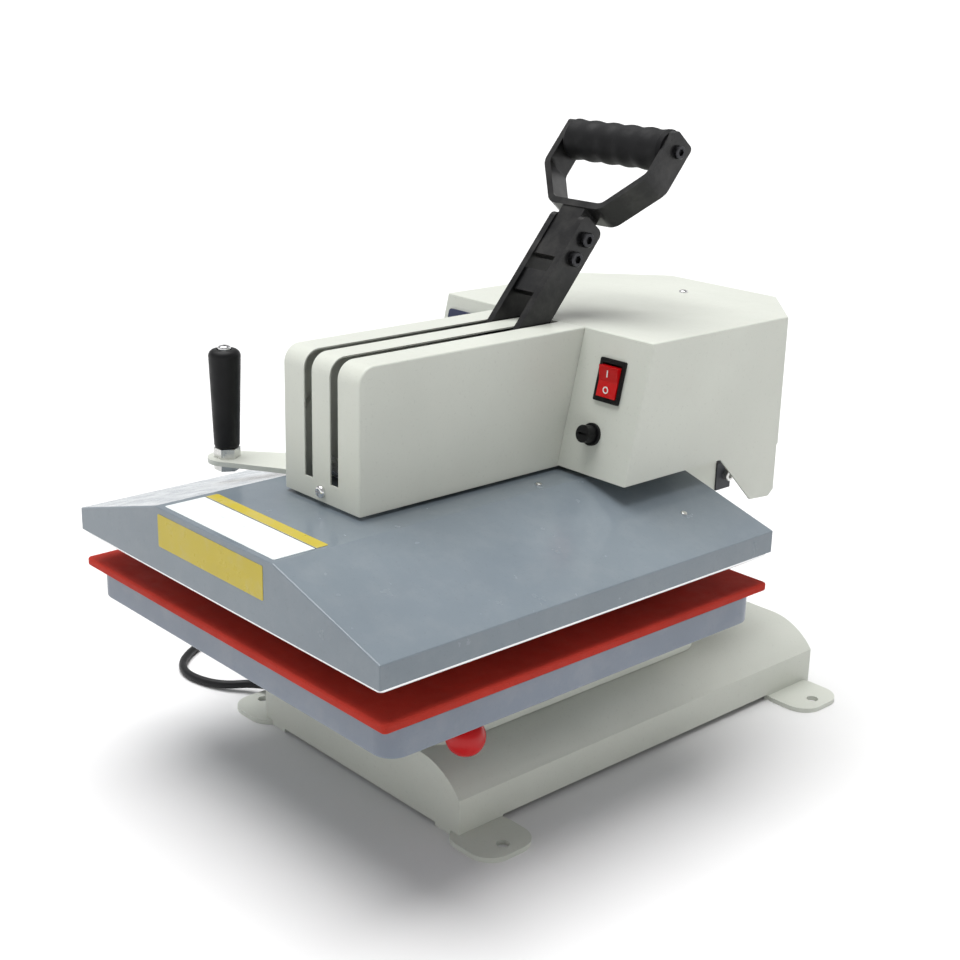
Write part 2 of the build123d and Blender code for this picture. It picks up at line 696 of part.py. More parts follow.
# --- lever ---------------------------------------------------------------------------------------
HUB_R = 20.0
bars = []
for sx in (-1, 1):
    low = min(sx * BAR_IN, sx * (BAR_IN + BAR_T))
    with BuildPart() as bar:
        c, s = direction(LEVER_TILT)
        foot_t = (PIVOT_Y - LEVER_Y) * c + (PIVOT_Z - LEVER_Z) * s
        half = BAR_W / 2
        with BuildSketch(Plane.YZ.offset(low)):
            with BuildLine():
                Polyline(
                    along_lever(foot_t, half),
                    along_lever(BAR_END, half),
                    along_lever(BAR_END, -half),
                    along_lever(foot_t, -half),
                    close=True,
                )
            make_face()
            with Locations((PIVOT_Y, PIVOT_Z), along_lever(foot_t)):
                Circle(HUB_R)
            with Locations((PIVOT_Y, PIVOT_Z)):
                Circle(PIVOT_R + RUN, mode=Mode.SUBTRACT)
            with Locations(along_lever(80), along_lever(61)):
                Circle(4.1, mode=Mode.SUBTRACT)
        extrude(amount=BAR_T)
        end_edges = bar.edges().filter_by(Axis.X).sort_by(lambda e: e.center().Z)[-2:]
        fillet(end_edges, 6)
    bars.append(bar.part)
with BuildPart() as lever_web:
    with BuildSketch(Plane.YZ.offset(-BAR_IN)):
        with BuildLine():
            Polyline(
                along_lever(19, 11), along_lever(40, 11), along_lever(40, 3), along_lever(19, 3), close=True
            )
        make_face()
    extrude(amount=2 * BAR_IN)
bars.append(lever_web.part)
save_group(bars, "lever_bars")


def cam_outline():
    """Involute: the flat ram top drops by the same amount for each degree of lever."""
    points = []
    steps = 24
    for i in range(steps + 1):
        turn = math.radians(-3 + (LEVER_SWEEP + 6) * i / steps)
        reach = CAM_MIN + CAM_RISE * turn
        angle = -math.pi / 2 - turn
        y = PIVOT_Y + reach * math.cos(angle) + CAM_RISE * math.sin(angle)
        z = PIVOT_Z + reach * math.sin(angle) - CAM_RISE * math.cos(angle)
        points.append((y, z))
    return points


with BuildPart() as lever_cam:
    outline = cam_outline()
    with BuildSketch(Plane.YZ.offset(-BAR_IN)):
        with BuildLine():
            rise = Spline(*outline)
            Line(rise @ 1, (PIVOT_Y, PIVOT_Z))
            Line((PIVOT_Y, PIVOT_Z), rise @ 0)
        make_face()
        with Locations((PIVOT_Y, PIVOT_Z)):
            Circle(CAM_MIN - 1.5)
            Circle(PIVOT_R + RUN, mode=Mode.SUBTRACT)
    extrude(amount=2 * BAR_IN)
save(lever_cam.part, "lever_cam")

bow_c, bow_s = direction(BOW_TILT)
bow_y, bow_z = along_lever(BAR_END + 6)
bow_plane = Plane(origin=(0, bow_y, bow_z), x_dir=(1, 0, 0), z_dir=(0, -bow_s, bow_c))
STRAP_T = 6.0
STRAP_W = 26.0
BOW_HALF = 61.0
BOW_FOOT = 29.0
BOW_KNEE = 38.0
BOW_END = GRIP_V + 13
with BuildPart() as lever_bow:
    with BuildSketch(bow_plane.offset(-STRAP_W / 2)):
        with BuildLine():
            FilletPolyline(
                (-BOW_HALF, BOW_END),
                (-BOW_HALF, BOW_KNEE),
                (-BOW_FOOT, 0),
                (BOW_FOOT, 0),
                (BOW_HALF, BOW_KNEE),
                (BOW_HALF, BOW_END),
                radius=14,
            )
            Line((BOW_HALF, BOW_END), (BOW_HALF - STRAP_T, BOW_END))
            FilletPolyline(
                (BOW_HALF - STRAP_T, BOW_END),
                (BOW_HALF - STRAP_T, BOW_KNEE + 2),
                (BOW_FOOT - 2, STRAP_T),
                (-BOW_FOOT + 2, STRAP_T),
                (-BOW_HALF + STRAP_T, BOW_KNEE + 2),
                (-BOW_HALF + STRAP_T, BOW_END),
                radius=9,
            )
            Line((-BOW_HALF + STRAP_T, BOW_END), (-BOW_HALF, BOW_END))
        make_face()
    extrude(amount=STRAP_W)
    tip_edges = lever_bow.edges().filter_by(Axis.X).filter_by(
        lambda e: (e.center() - bow_plane.origin).dot(bow_plane.y_dir) > GRIP_V + 10
    )
    fillet(tip_edges, 4)
    # tang between the bars
    with BuildSketch(Plane.YZ.offset(-BAR_IN)):
        with BuildLine():
            Polyline(
                along_lever(54, 12),
                along_lever(BAR_END + 6, 12),
                along_lever(BAR_END + 6, -8),
                along_lever(72, -8),
                along_lever(54, 4),
                close=True,
            )
        make_face()
    extrude(amount=2 * BAR_IN)
    with BuildSketch(Plane.YZ.offset(-BAR_IN - 10)):
        with Locations(along_lever(80), along_lever(61)):
            Circle(4.1)
    extrude(amount=2 * BAR_IN + 20, mode=Mode.SUBTRACT)
    with BuildSketch(Plane.YZ.offset(-BOW_HALF - 10)):
        with Locations((bow_y + GRIP_V * bow_c, bow_z + GRIP_V * bow_s)):
            Circle(4.1)
    extrude(amount=2 * BOW_HALF + 20, mode=Mode.SUBTRACT)
save(lever_bow.part, "lever_bow")

lever_bolts = []
for t in (80, 61):
    y, z = along_lever(t)
    for sx in (-1, 1):
        plane = Plane(origin=(sx * (BAR_IN + BAR_T), y, z), x_dir=(0, 1, 0), z_dir=(sx, 0, 0))
        lever_bolts.append(socket_screw(plane, 6.3, 5.0, 4.0, BAR_IN + BAR_T - 0.1))
save_group(lever_bolts, "lever_bolts")

grip_y = bow_y + GRIP_V * bow_c
grip_z = bow_z + GRIP_V * bow_s
GRIP_LEN = 2 * (BOW_HALF - STRAP_T) - 0.4
CORE_R = 7.0
with BuildPart() as grip_core:
    with BuildSketch(Plane.YZ.offset(-GRIP_LEN / 2)):
        with Locations((grip_y, grip_z)):
            Circle(CORE_R)
            Circle(3.0, mode=Mode.SUBTRACT)
    extrude(amount=GRIP_LEN)
save(grip_core.part, "grip_core")

RIPPLES = 5
with BuildPart() as lever_grip:
    grip_plane = Plane(origin=(0, grip_y, grip_z), x_dir=(1, 0, 0), z_dir=(0, -bow_s, bow_c))
    with BuildSketch(grip_plane):
        with BuildLine():
            half = GRIP_LEN / 2
            wave = []
            count = RIPPLES * 8
            for i in range(count + 1):
                x = -half + 3 + (GRIP_LEN - 6) * i / count
                wave.append((x, GRIP_R + 0.55 * math.cos(2 * math.pi * RIPPLES * i / count)))
            Polyline((wave[0]), (-half, GRIP_R - 1.5), (-half, CORE_R), (half, CORE_R), (half, GRIP_R - 1.5), wave[-1])
            Spline(*wave)
        make_face()
    revolve(axis=Axis((0, grip_y, grip_z), (1, 0, 0)))
save(lever_grip.part, "lever_grip")

grip_screws = []
for sx in (-1, 1):
    plane = Plane(origin=(sx * BOW_HALF, grip_y, grip_z), x_dir=(0, 1, 0), z_dir=(sx, 0, 0))
    grip_screws.append(socket_screw(plane, 5.5, 4.0, 2.95, 28.0))
save_group(grip_screws, "grip_end_screws")

# --- control box -----------------------------------------------------------------------------------
def box_profile(inset):
    run = BOX_FRONT_TOP - BOX_FRONT_BOTTOM
    rise = ARM_TOP - BOX_BOTTOM
    lean = run / rise
    shift = inset * math.hypot(1, lean)
    low = BOX_BOTTOM - (1 if inset else 0)
    top = ARM_TOP - inset
    front_low = BOX_FRONT_TOP - (ARM_TOP - low) * lean + shift
    front_top = BOX_FRONT_TOP - (ARM_TOP - top) * lean + shift
    return [(front_low, low), (front_top, top), (BOX_BACK - inset, top), (BOX_BACK - inset, low)]


def box_plan(inset):
    half = BOX_HALF_W - inset
    slip = inset * math.tan(math.atan2(BOX_BACK - BOX_SIDE_BACK, BOX_HALF_W - BOX_BACK_HALF) / 2)
    back_half = BOX_BACK_HALF - slip
    return [
        (-half, -60),
        (half, -60),
        (half, BOX_SIDE_BACK - slip),
        (back_half, BOX_BACK - inset),
        (-back_half, BOX_BACK - inset),
        (-half, BOX_SIDE_BACK - slip),
    ]


def box_solid(inset):
    with BuildPart() as solid:
        with BuildSketch(Plane.YZ.offset(-BOX_HALF_W)):
            with BuildLine():
                Polyline(*box_profile(inset), close=True)
            make_face()
        extrude(amount=2 * BOX_HALF_W)
        with BuildSketch(Plane.XY.offset(BOX_BOTTOM - 2)):
            with BuildLine():
                Polyline(*box_plan(inset), close=True)
            make_face()
        extrude(amount=ARM_TOP - BOX_BOTTOM + 4, mode=Mode.INTERSECT)
    return solid.part


ROCKER_X = 86.0
ROCKER_Z = 322.0
FUSE_X = 78.0
FUSE_Z = 278.0
DISPLAY_X = -83.0
DISPLAY_Z = 309.0
DISPLAY_W = 62.0
DISPLAY_H = 76.0
with BuildPart() as control_box:
    add(box_solid(0.0))
    fillet(control_box.edges().filter_by(lambda e: e.center().Z > BOX_BOTTOM + 5), 1.4)
    add(box_solid(SHEET), mode=Mode.SUBTRACT)
    for sx in (-1, 1):
        low = BOX_HALF_W - SHEET if sx > 0 else -BOX_HALF_W
        with BuildSketch(Plane.YZ.offset(low)):
            with BuildLine():
                Polyline(
                    (79, BOX_BOTTOM),
                    (123, 202),
                    (148, 200),
                    (154.5, 205),
                    (154.5, BOX_BOTTOM + 4),
                    (79, BOX_BOTTOM + 4),
                    close=True,
                )
            make_face()
        extrude(amount=SHEET)
    with Locations((0, -30, (BOX_BOTTOM + ARM_TOP) / 2 - SHEET)):
        Box(2 * ARM_HALF_W + 0.6, 60, ARM_TOP - BOX_BOTTOM, mode=Mode.SUBTRACT)
    with Locations((0, POST_Y, ARM_TOP)):
        Cylinder(2.6, 10, mode=Mode.SUBTRACT)
    for x, z, w, h in (
        (ROCKER_X, ROCKER_Z, 22.4, 29.4),
        (DISPLAY_X, DISPLAY_Z, DISPLAY_W - 6, DISPLAY_H - 6),
    ):
        with BuildSketch(panel_plane(x, z, 5)):
            Rectangle(w, h)
        extrude(amount=-10, mode=Mode.SUBTRACT)
    with BuildSketch(panel_plane(FUSE_X, FUSE_Z, 5)):
        Circle(6.6)
    extrude(amount=-10, mode=Mode.SUBTRACT)
save(control_box.part, "control_box")

box_plane = Plane(origin=(0, POST_Y, ARM_TOP), z_dir=(0, 0, 1))
cover_screws.append(dome_screw(box_plane, 4.2, 2.0, 2.5, 8.0))

FLOOR_LOW = 247.5
floor_wings = []
for sx in (-1, 1):
    with BuildPart() as wing:
        with BuildSketch(Plane.XY.offset(FLOOR_LOW)):
            with BuildLine():
                Polyline(
                    (sx * 48, -34),
                    (sx * 120, -34),
                    (sx * 120, 154),
                    (sx * 62, 213),
                    (sx * 48, 213),
                    close=True,
                )
            make_face()
        extrude(amount=1.5)
    floor_wings.append(wing.part)
save_group(floor_wings, "box_floor_plates")

# display module
BUTTON_W = 10.0
BUTTON_H = 6.0
button_spots = [(dx, -25.0) for dx in (-19.5, -6.5, 6.5, 19.5)]
with BuildPart() as display_module:
    with BuildSketch(panel_plane(DISPLAY_X, DISPLAY_Z)):
        RectangleRounded(DISPLAY_W, DISPLAY_H, 3)
    extrude(amount=2.5)
    with BuildSketch(panel_plane(DISPLAY_X, DISPLAY_Z)):
        Rectangle(DISPLAY_W - 7, DISPLAY_H - 7)
    extrude(amount=-24)
    with BuildSketch(panel_plane(DISPLAY_X, DISPLAY_Z, 2.5)):
        with Locations((0, 10)):
            RectangleRounded(50, 42, 2)
    extrude(amount=-2.0, mode=Mode.SUBTRACT)
    with BuildSketch(panel_plane(DISPLAY_X, DISPLAY_Z, 2.5)):
        with Locations(*button_spots):
            Rectangle(BUTTON_W + 0.7, BUTTON_H + 0.7)
    extrude(amount=-5, mode=Mode.SUBTRACT)
save(display_module.part, "display_module")

button_names = ("set_button", "down_button", "up_button", "start_button")
for (dx, dy), name in zip(button_spots, button_names):
    with BuildPart() as button:
        with BuildSketch(panel_plane(DISPLAY_X, DISPLAY_Z, -0.6)):
            with Locations((dx, dy)):
                Rectangle(BUTTON_W, BUTTON_H)
        extrude(amount=4.6)
    save(button.part, name)

# rocker switch
with BuildPart() as rocker_bezel:
    with BuildSketch(panel_plane(ROCKER_X, ROCKER_Z)):
        RectangleRounded(27, 35, 1.5)
    extrude(amount=2.2)
    with BuildSketch(panel_plane(ROCKER_X, ROCKER_Z)):
        Rectangle(22, 29)
    extrude(amount=-22)
    with BuildSketch(panel_plane(ROCKER_X, ROCKER_Z, 2.2)):
        Rectangle(20.8, 27.4)
    extrude(amount=-16, mode=Mode.SUBTRACT)
save(rocker_bezel.part, "rocker_bezel")

ROCKER_TILT = 8.0
pivot = panel_plane(ROCKER_X, ROCKER_Z, -2.0)
rocker_pivot = pivot.origin
with BuildPart() as rocker_switch:
    side = Plane(origin=pivot.origin, x_dir=pivot.z_dir, z_dir=(-1, 0, 0))
    side = side.offset(-10)
    with BuildSketch(side):
        with BuildLine():
            Polyline((5.2, 0), (7.2, 12.6), (-1.5, 12.2), (-6, 3), (-6, -3), (-1.5, -12.2), (7.2, -12.6), close=True)
        make_face()
    extrude(amount=20)
    with BuildSketch(side.offset(-0.2)):
        Circle(1.5)
    extrude(amount=20.4)
rocker_part = rocker_switch.part.rotate(Axis(rocker_pivot, (1, 0, 0)), ROCKER_TILT)
save(rocker_part, "rocker_switch")

# fuse holder
with BuildPart() as fuse_holder:
    with BuildSketch(panel_plane(FUSE_X, FUSE_Z)):
        Circle(9.2)
    extrude(amount=2.5)
    with BuildSketch(panel_plane(FUSE_X, FUSE_Z)):
        Circle(6.4)
    extrude(amount=-26)
    with BuildSketch(panel_plane(FUSE_X, FUSE_Z, 2.5)):
        Circle(5.05)
    extrude(amount=-22, mode=Mode.SUBTRACT)
save(fuse_holder.part, "fuse_holder")
with BuildPart() as fuse_cap:
    with BuildSketch(panel_plane(FUSE_X, FUSE_Z, 2.8)):
        Circle(7.2)
    extrude(amount=9)
    with BuildSketch(panel_plane(FUSE_X, FUSE_Z, 2.8)):
        Circle(5.0)
    extrude(amount=-16)
    with BuildSketch(panel_plane(FUSE_X, FUSE_Z, 11.8)):
        Rectangle(9, 1.6)
    extrude(amount=-1.8, mode=Mode.SUBTRACT)
save(fuse_cap.part, "fuse_cap")

# --- swing handle ------------------------------------------------------------------------------------
BRACKET_T = 4.0
SWING_END_R = 16.0
with BuildPart() as handle_bracket:
    with BuildSketch(Plane.XY.offset(BRACKET_TOP - BRACKET_T)):
        with BuildLine():
            Polyline(
                (SWING_X + 8, SWING_Y - 14),
                (-ARM_HALF_W - 0.2, -205),
                (-ARM_HALF_W - 0.2, -136),
                (SWING_X - 11, SWING_Y + 11.5),
                close=True,
            )
        make_face()
        with Locations((SWING_X, SWING_Y)):
            Circle(SWING_END_R)
            Circle(6.2, mode=Mode.SUBTRACT)
    extrude(amount=BRACKET_T)
    with Locations((-ARM_HALF_W - 0.2 - 2, -170.5, BRACKET_TOP + 8)):
        Box(4, 69, 24)
save(handle_bracket.part, "handle_bracket")

for y in (-192, -149):
    plane = Plane(origin=(-ARM_HALF_W - 4.2, y, BRACKET_TOP + 12), x_dir=(0, 1, 0), z_dir=(-1, 0, 0))
    with BuildPart() as bracket_screw:
        with BuildSketch(plane):
            Circle(4.5)
        extrude(amount=3)
        fillet(bracket_screw.faces().sort_by(Axis.X)[0].edges(), 2)
    cover_screws.append(bracket_screw.part)
save_group(cover_screws, "cover_screws")

HANDLE_NUT_TOP = BRACKET_TOP + 8
HANDLE_LOW = HANDLE_NUT_TOP + 0.6
HANDLE_HIGH = 337.5
with BuildPart() as handle_spindle:
    with BuildSketch(Plane.XY.offset(BRACKET_TOP - BRACKET_T - 6.5)):
        with Locations((SWING_X, SWING_Y)):
            RegularPolygon(10.8, 6)
    extrude(amount=6.5)
    add(rod(SWING_X, SWING_Y, BRACKET_TOP - BRACKET_T, HANDLE_NUT_TOP, 6.0))
    add(rod(SWING_X, SWING_Y, HANDLE_NUT_TOP, HANDLE_HIGH - 2, 4.0))
save(handle_spindle.part, "handle_spindle")
with BuildPart() as handle_nut:
    with BuildSketch(Plane.XY.offset(BRACKET_TOP)):
        with Locations((SWING_X, SWING_Y)):
            RegularPolygon(10.8, 6)
            Circle(6.0, mode=Mode.SUBTRACT)
    extrude(amount=8)
save(handle_nut.part, "handle_nut")
with BuildPart() as swing_grip:
    with BuildSketch(Plane.XZ.offset(-SWING_Y)):
        with BuildLine():
            Polyline(
                (SWING_X + 4 + RUN, HANDLE_LOW),
                (SWING_X + 9.6, HANDLE_LOW),
                (SWING_X + 10.4, HANDLE_LOW + 2),
                (SWING_X + 13.0, HANDLE_HIGH - 6),
            )
            ThreePointArc(
                (SWING_X + 13.0, HANDLE_HIGH - 6), (SWING_X + 11.2, HANDLE_HIGH - 1.6), (SWING_X + 7, HANDLE_HIGH)
            )
            Polyline(
                (SWING_X + 7, HANDLE_HIGH),
                (SWING_X + 6.2, HANDLE_HIGH),
                (SWING_X + 6.2, HANDLE_HIGH - 1.6),
                (SWING_X + 4 + RUN, HANDLE_HIGH - 1.6),
                (SWING_X + 4 + RUN, HANDLE_LOW),
            )
        make_face()
    revolve(axis=Axis((SWING_X, SWING_Y, 0), (0, 0, 1)))
save(swing_grip.part, "swing_grip")
handle_plane = Plane(origin=(SWING_X, SWING_Y, HANDLE_HIGH - 1.3), z_dir=(0, 0, 1))
with BuildPart() as handle_screw:
    with BuildSketch(handle_plane):
        with Locations((0, 0)):
            Circle(5.4)
    extrude(amount=4)
    fillet(handle_screw.faces().sort_by(Axis.Z)[-1].edges(), 2.4)
    with BuildSketch(handle_plane.offset(4)):
        Rectangle(9, 1.4)
    extrude(amount=-1.2, mode=Mode.SUBTRACT)
save(handle_screw.part, "handle_end_screw")

# --- mains cord ---------------------------------------------------------------------------------------
with BuildPart() as cord_gland:
    face = Plane(origin=(-BASE_HALF_W, GLAND_Y, GLAND_Z), x_dir=(0, 1, 0), z_dir=(-1, 0, 0))
    with BuildSketch(face):
        RegularPolygon(10.0, 6)
    extrude(amount=4)
    with BuildSketch(face.offset(4)):
        Circle(8)
    extrude(amount=6, taper=12)
    with BuildSketch(face):
        Circle(6.9)
    extrude(amount=-10)
    with BuildSketch(face.offset(-10)):
        Circle(CORD_R)
    extrude(amount=20, mode=Mode.SUBTRACT)
save(cord_gland.part, "cord_gland")

CORD_FLOOR = CORD_R + 0.2
COIL_X = -120.0
COIL_Y = 330.0
COIL_MEAN = 5 * CORD_D
COIL_OUTER = COIL_MEAN + CORD_R
COIL_WIDE = 2 * CORD_D + 1.2  # two turns side by side and two layers, with the tie under them
cord_points = [
    (-BASE_HALF_W - 10.0, GLAND_Y, GLAND_Z),
    (-176.0, GLAND_Y, 9.5),
    (-208.0, -213.0, CORD_FLOOR),
    (-262.0, -221.0, CORD_FLOOR),
    (-300.0, -170.0, CORD_FLOOR),
    (-310.0, -85.0, CORD_FLOOR),
    (-296.0, 10.0, CORD_FLOOR),
    (-285.0, 105.0, CORD_FLOOR),
    (-250.0, 190.0, CORD_FLOOR),
    (-206.0, 238.0, CORD_FLOOR),
    (-152.0, 254.0, CORD_FLOOR),
    (-102.0, 263.0, CORD_FLOOR),
    (COIL_X + COIL_OUTER, 292.0, CORD_FLOOR),
    (COIL_X + COIL_OUTER, 320.0, CORD_FLOOR),
]
tail_points = [
    (COIL_X - 14.0, COIL_Y + COIL_OUTER, CORD_FLOOR + CORD_D),
    (-158.0, COIL_Y + COIL_OUTER - 0.4, 9.5),
    (-190.0, COIL_Y + COIL_OUTER - 1.5, 4.6),
    (-222.0, 365.0, 4.4),
    (-256.0, 355.2, 8.8),
    (-286.0, 344.0, 11.2),
]


def corner_radii(points):
    """Largest arc that leaves a straight piece in the shorter run beside each corner."""
    radii = []
    for before, here, after in zip(points, points[1:], points[2:]):
        first = Vector(*here) - Vector(*before)
        second = Vector(*after) - Vector(*here)
        turn = math.radians(first.get_angle(second))
        radii.append(0.45 * min(first.length, second.length) / math.tan(turn / 2))
    return radii


def cord_tube(points):
    radii = corner_radii(points)
    print("cord radii", [round(r, 1) for r in radii])
    with BuildPart() as lead:
        with BuildLine() as route:
            FilletPolyline(*points, radius=radii)
        with BuildSketch(Plane(origin=route.line @ 0, z_dir=route.line % 0)):
            Circle(CORD_R)
        sweep()
    print("cord length", round(sum(edge.length for edge in route.line.edges()), 1))
    return lead.part


save(cord_tube(cord_points), "mains_cord")
save(cord_tube(tail_points), "cord_tail")

with BuildPart() as cord_coil:
    with BuildSketch(Plane.XZ.offset(-COIL_Y)):
        with Locations((COIL_X + COIL_MEAN, 0.2 + COIL_WIDE / 2)):
            RectangleRounded(COIL_WIDE, COIL_WIDE, CORD_R - 0.1)
    revolve(axis=Axis((COIL_X, COIL_Y, 0), (0, 0, 1)))
save(cord_coil.part, "cord_coil")

tail_end = Vector(*tail_points[-1])
tail_dir = (tail_end - Vector(*tail_points[-2])).normalized()
plug_plane = Plane(origin=tail_end, x_dir=(0, 0, 1), z_dir=(tail_dir.X, tail_dir.Y, 0))
with BuildPart() as mains_plug:
    with BuildSketch(plug_plane):
        Circle(5.5)
    with BuildSketch(plug_plane.offset(12)):
        Circle(8)
    loft()
    with BuildSketch(plug_plane.offset(12)):
        RectangleRounded(22, 32, 7)
    extrude(amount=26)
    with BuildSketch(plug_plane.offset(38)):
        with Locations((0, -9.5), (0, 9.5)):
            Circle(2.4)
    extrude(amount=19)
save(mains_plug.part, "mains_plug")
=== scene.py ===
import json
import math

import bmesh
import bpy
from mathutils import Matrix, Vector


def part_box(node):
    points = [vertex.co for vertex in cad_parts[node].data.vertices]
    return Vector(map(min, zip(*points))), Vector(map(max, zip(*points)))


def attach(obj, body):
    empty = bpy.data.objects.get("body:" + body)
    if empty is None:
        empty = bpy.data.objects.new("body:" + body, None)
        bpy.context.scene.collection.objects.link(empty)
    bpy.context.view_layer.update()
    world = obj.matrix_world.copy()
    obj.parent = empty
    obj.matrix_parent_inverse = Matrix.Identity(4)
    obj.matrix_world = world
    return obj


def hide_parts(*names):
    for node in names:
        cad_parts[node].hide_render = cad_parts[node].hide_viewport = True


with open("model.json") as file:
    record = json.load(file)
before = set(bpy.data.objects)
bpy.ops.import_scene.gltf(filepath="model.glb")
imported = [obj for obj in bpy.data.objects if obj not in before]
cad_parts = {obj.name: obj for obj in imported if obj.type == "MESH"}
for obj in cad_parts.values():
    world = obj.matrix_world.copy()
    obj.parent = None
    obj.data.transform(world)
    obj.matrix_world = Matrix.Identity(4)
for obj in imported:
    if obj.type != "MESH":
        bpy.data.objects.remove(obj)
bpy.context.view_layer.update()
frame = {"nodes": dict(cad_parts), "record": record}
nodes = frame["nodes"]
scene = bpy.context.scene

# --- camera ---------------------------------------------------------------------------
CAMERA_AT = Vector((0.8976, -0.9024, 0.6296))
CAMERA_AHEAD = Vector((-0.70075, 0.64126, -0.31261)).normalized()
CAMERA_ROLL = math.radians(1.4)
LENS_MM = 58.05

right = CAMERA_AHEAD.cross(Vector((0, 0, 1))).normalized()
up = right.cross(CAMERA_AHEAD)
right, up = (
    right * math.cos(CAMERA_ROLL) + up * math.sin(CAMERA_ROLL),
    up * math.cos(CAMERA_ROLL) - right * math.sin(CAMERA_ROLL),
)
camera_data = bpy.data.cameras.new("camera")
camera_data.lens = LENS_MM
camera_data.sensor_width = 36.0
camera_data.clip_end = 400.0
camera = bpy.data.objects.new("camera", camera_data)
scene.collection.objects.link(camera)
turn = Matrix((right, up, -CAMERA_AHEAD)).transposed().to_4x4()
camera.matrix_world = Matrix.Translation(CAMERA_AT) @ turn
scene.camera = camera

# --- mains cord -----------------------------------------------------------------------
CORD_D = 0.0075
CORD_Z = CORD_D / 2 + 0.0002
COIL_X, COIL_Y = -0.120, 0.330
COIL_Z = CORD_Z + 0.0009
GLAND = (-0.138, -0.180, 0.015)
route = [
    GLAND,
    (-0.176, -0.180, 0.0095),
    (-0.208, -0.213, CORD_Z),
    (-0.262, -0.221, CORD_Z),
    (-0.300, -0.170, CORD_Z),
    (-0.310, -0.085, CORD_Z),
    (-0.296, 0.010, CORD_Z),
    (-0.285, 0.105, CORD_Z),
    (-0.250, 0.190, CORD_Z),
    (-0.206, 0.238, CORD_Z),
    (-0.152, 0.254, CORD_Z),
    (-0.102, 0.263, CORD_Z),
    (-0.07875, 0.292, CORD_Z),
]
# each turn: ring radius and height, wound up from the floor
COIL_OUTER, COIL_INNER = 0.04125, 0.03375
turns = [
    (COIL_OUTER, COIL_Z),
    (COIL_INNER, COIL_Z),
    (COIL_INNER, COIL_Z + CORD_D),
    (COIL_OUTER, COIL_Z + CORD_D),
]
STEPS = 20
SPLINE_SHRINK = (3 + math.cos(2 * math.pi / STEPS)) / 4
coil_steps = len(turns) * STEPS + STEPS // 4
for i in range(coil_steps + 1):
    whole = min(i // STEPS, len(turns) - 1)
    after = min(whole + 1, len(turns) - 1)
    share = min(max((i - whole * STEPS) / STEPS * 4 - 3, 0), 1) if i < len(turns) * STEPS else 0
    ring = turns[whole][0] + (turns[after][0] - turns[whole][0]) * share
    height = turns[whole][1] + (turns[after][1] - turns[whole][1]) * share
    angle = 2 * math.pi * i / STEPS
    route.append(
        (
            COIL_X + ring / SPLINE_SHRINK * math.cos(angle),
            COIL_Y + ring / SPLINE_SHRINK * math.sin(angle),
            height,
        )
    )
route += [
    (-0.150, 0.3712, 0.0112),
    (-0.183, 0.3704, 0.0048),
    (-0.222, 0.3650, 0.0044),
    (-0.256, 0.3552, 0.0088),
    (-0.286, 0.3440, 0.0112),
]
curve = bpy.data.curves.new("mains_cord_line", "CURVE")
curve.dimensions = "3D"
spline = curve.splines.new("NURBS")
spline.points.add(len(route) - 1)
for spot, place in zip(spline.points, route):
    spot.co = (*place, 1.0)
spline.order_u = 3
spline.use_endpoint_u = True
curve.resolution_u = 10
curve.use_fill_caps = True
guide = bpy.data.objects.new("mains_cord_guide", curve)
centreline = bpy.data.meshes.new_from_object(guide)
curve.bevel_depth = CORD_D / 2
curve.bevel_resolution = 6
cord = bpy.data.objects.new("mains_lead", bpy.data.meshes.new_from_object(guide))
bpy.data.objects.remove(guide)
scene.collection.objects.link(cord)
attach(cord, "base")
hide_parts("mains_cord", "cord_tail", "cord_coil")


